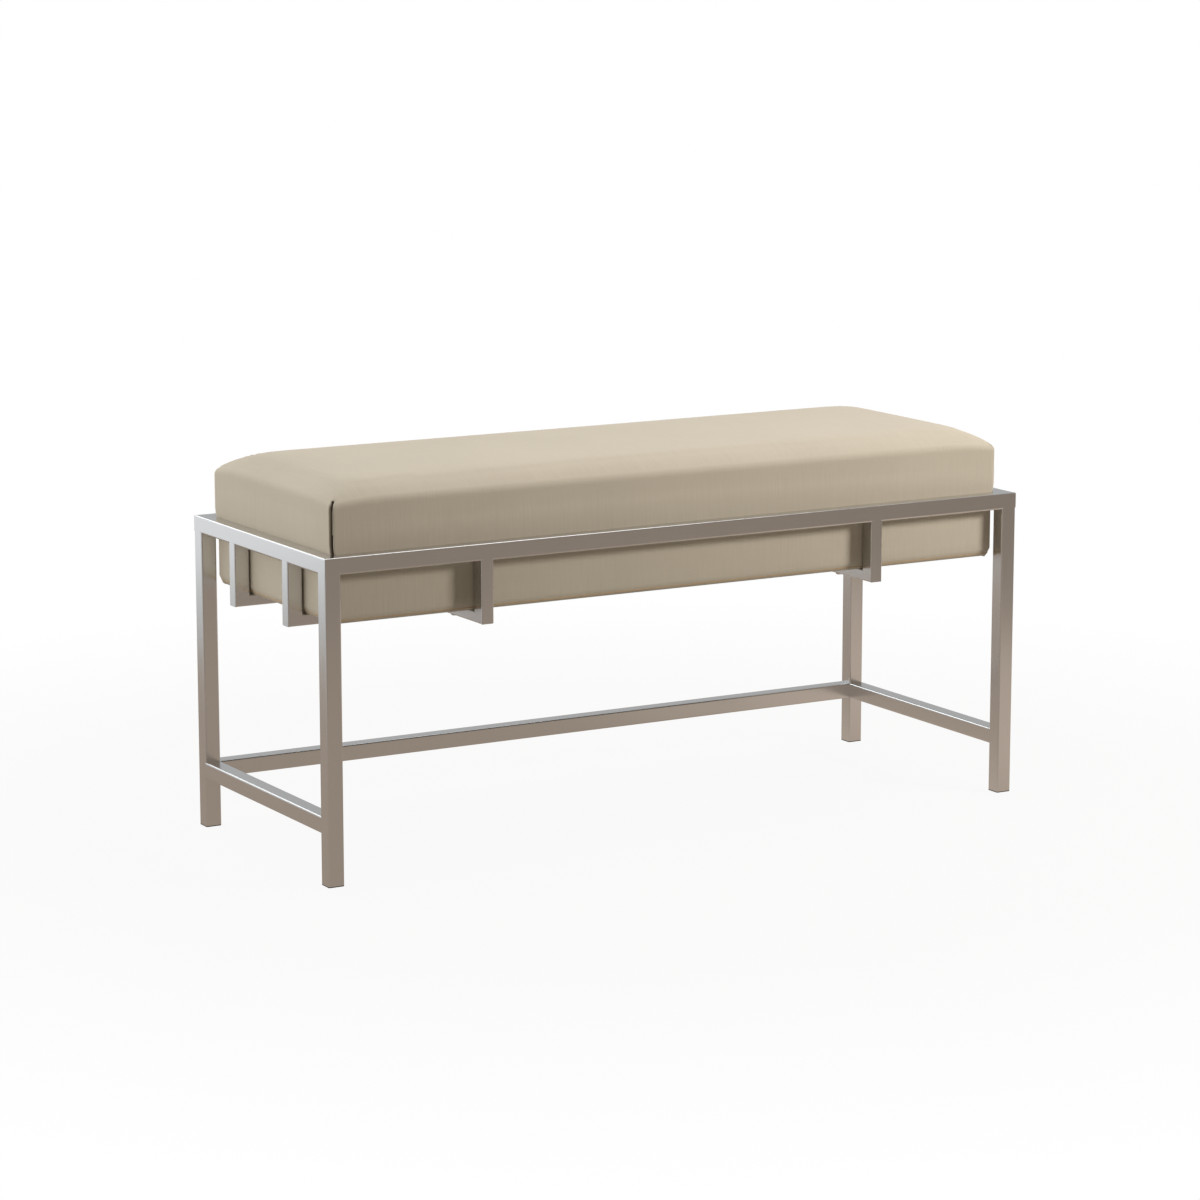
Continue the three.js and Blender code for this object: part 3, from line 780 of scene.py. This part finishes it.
def add_staple(builder, place, along):
    """A flat crown of wire with its two legs driven up into the board."""
    up = unit(Z)
    across = up.cross(along)
    half = STAPLE_WIDTH / 2
    wire = STAPLE_WIRE / 2
    left_leg = (-half, STAPLE_LEG, along)
    left_bend = (-half, -wire, along + up)
    right_bend = (half, -wire, up - along)
    right_leg = (half, STAPLE_LEG, -along)
    loops = []
    for run, rise, inward in (left_leg, left_bend, right_bend, right_leg):
        middle = place + along * run + up * rise
        inner = middle + inward * wire
        outer = middle - inward * wire
        loop = (inner + across * wire, inner - across * wire, outer - across * wire, outer + across * wire)
        loops.append([builder.verts.new(point) for point in loop])
    join_loops(builder, loops)
    builder.faces.new(loops[0][::-1])
    builder.faces.new(loops[-1])


def make_staples(low, high, material):
    """A row of staples along each edge of the sheet."""
    span = high - low
    builder = bmesh.new()
    for axis, other in ((X, Y), (Y, X)):
        count = int(span[axis] / STAPLE_PITCH)
        for sign in (-1, 1):
            for k in range(count):
                place = Vector((0, 0, low.z))
                place[axis] = low[axis] + span[axis] * (k + 0.5) / count
                place[other] = sign * (high[other] - STAPLE_INSET)
                add_staple(builder, place, unit(axis))
    return make_piece("lining_staples", builder, material, smooth=False)


def add_lining(material, wire):
    low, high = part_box("dust_cover")
    sheet = make_sheet(low, high, material)
    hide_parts("dust_cover")
    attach(sheet, "bench")
    staples = make_staples(low, high, wire)
    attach(staples, "bench")


# Studio
def add_floor():
    """A disc that keeps the bench's shadow and shows near white; to the metal it glows a brown painted
    reflection, darker on the left and lighter on the right.
    """
    nodes = material_nodes("floor")
    builder = bmesh.new()
    bmesh.ops.create_circle(builder, cap_ends=True, segments=FLOOR_SEGMENTS, radius=FLOOR_RADIUS)
    floor = make_piece("floor", builder, nodes.owner)
    x, y, _ = nodes.place()
    squares = [nodes.math("MULTIPLY", part, part) for part in (x, y)]
    distance = nodes.math("SQRT", nodes.math("ADD", *squares))
    seen, mirrored = nodes.rays()
    white = nodes.ramp(distance, FLOOR_FADE_START, FLOOR_RADIUS - FLOOR_RIM, FLOOR_WHITE, 1.0)
    share = nodes.math("MAXIMUM", nodes.math("MULTIPLY", seen, white), mirrored)
    # Painted reflection: mirrored rays see a glow in place of the floor, darker on the left and lighter on
    # the right
    on_right = nodes.ramp(x, *PAINTED_REFLECTION_CHANGE)
    reflected = nodes.blend(on_right, opaque(PAINTED_FLOOR_REFLECTION_LEFT), opaque(PAINTED_FLOOR_REFLECTION_RIGHT))
    colour = nodes.blend(mirrored, opaque(WHITE), reflected)
    glow = nodes.add("ShaderNodeEmission", {"Color": colour, "Strength": 1.0}).outputs[0]
    nodes.set(Base_Color=opaque(FLOOR_COLOUR), Roughness=FLOOR_ROUGHNESS, Specular_IOR_Level=0.0)
    mixed = nodes.add("ShaderNodeMixShader", {0: share, 1: nodes.shader.outputs[0], 2: glow}).outputs[0]
    nodes.feed(nodes.tree.nodes["Material Output"], "Surface", mixed)


def add_world():
    """A white backdrop for the camera, with a dim front and a white rear that light the bench."""
    world = bpy.data.worlds.new("studio")
    bpy.context.scene.world = world
    nodes = Nodes(world)
    nodes.tree.nodes.clear()
    x, y, _ = nodes.split(nodes.add("ShaderNodeTexCoord").outputs["Generated"])
    rear = nodes.ramp(y, *REAR_CHANGE, kind="SMOOTHSTEP")
    right = nodes.ramp(x, *RIGHT_CHANGE, kind="SMOOTHSTEP")
    seen, mirrored = nodes.rays()
    studio = nodes.blend(rear, opaque(DIM_FRONT), opaque(WHITE_REAR))
    mirrored_rear = nodes.blend(right, opaque(MIRRORED_LEFT), opaque(MIRRORED_RIGHT))
    reflected = nodes.blend(rear, opaque(MIRRORED_FRONT), mirrored_rear)
    lit = nodes.blend(mirrored, studio, reflected)
    shown = nodes.blend(seen, lit, opaque(WHITE))
    background = nodes.add("ShaderNodeBackground", {"Color": shown}).outputs[0]
    nodes.add("ShaderNodeOutputWorld", {"Surface": background})


def add_lamp(name, place, target, size, power, colour=WHITE, mirrored=True):
    lamp = bpy.data.lights.new(name, "AREA")
    lamp.shape = "RECTANGLE"
    lamp.size, lamp.size_y = size
    lamp.energy = power
    lamp.color = colour
    holder = bpy.data.objects.new(name, lamp)
    holder.location = place
    holder.rotation_euler = (Vector(target) - Vector(place)).to_track_quat("-Z", "Y").to_euler()
    holder.visible_camera = False
    holder.visible_glossy = mirrored
    bpy.context.scene.collection.objects.link(holder)


def add_camera():
    data = bpy.data.cameras.new("camera")
    data.lens = CAMERA_LENS
    data.sensor_width = CAMERA_SENSOR
    camera = bpy.data.objects.new("camera", data)
    camera.location = CAMERA_PLACE
    camera.rotation_euler = (math.pi / 2 + CAMERA_PITCH, 0, -CAMERA_YAW)
    bpy.context.scene.collection.objects.link(camera)
    bpy.context.scene.camera = camera


nickel = {axis: nickel_material(axis) for axis in "xyz"}
materials = {
    "frame_metal": nickel,
    "seat_fabric": fabric_material(),
    "foam": foam_material(),
    "lining": lining_material(),
    "plywood": plywood_material(),
    "zinc_steel": zinc_material(),
    "foot_plastic": nylon_material(),
}
dress(materials)
add_cover(materials["seat_fabric"])
add_foam(materials["foam"])
add_welds(nickel["z"])
add_lining(materials["lining"], materials["zinc_steel"])
add_floor()
add_world()
for lamp in LAMPS:
    add_lamp(**lamp)
add_camera()
bpy.context.scene.view_settings.view_transform = "Standard"
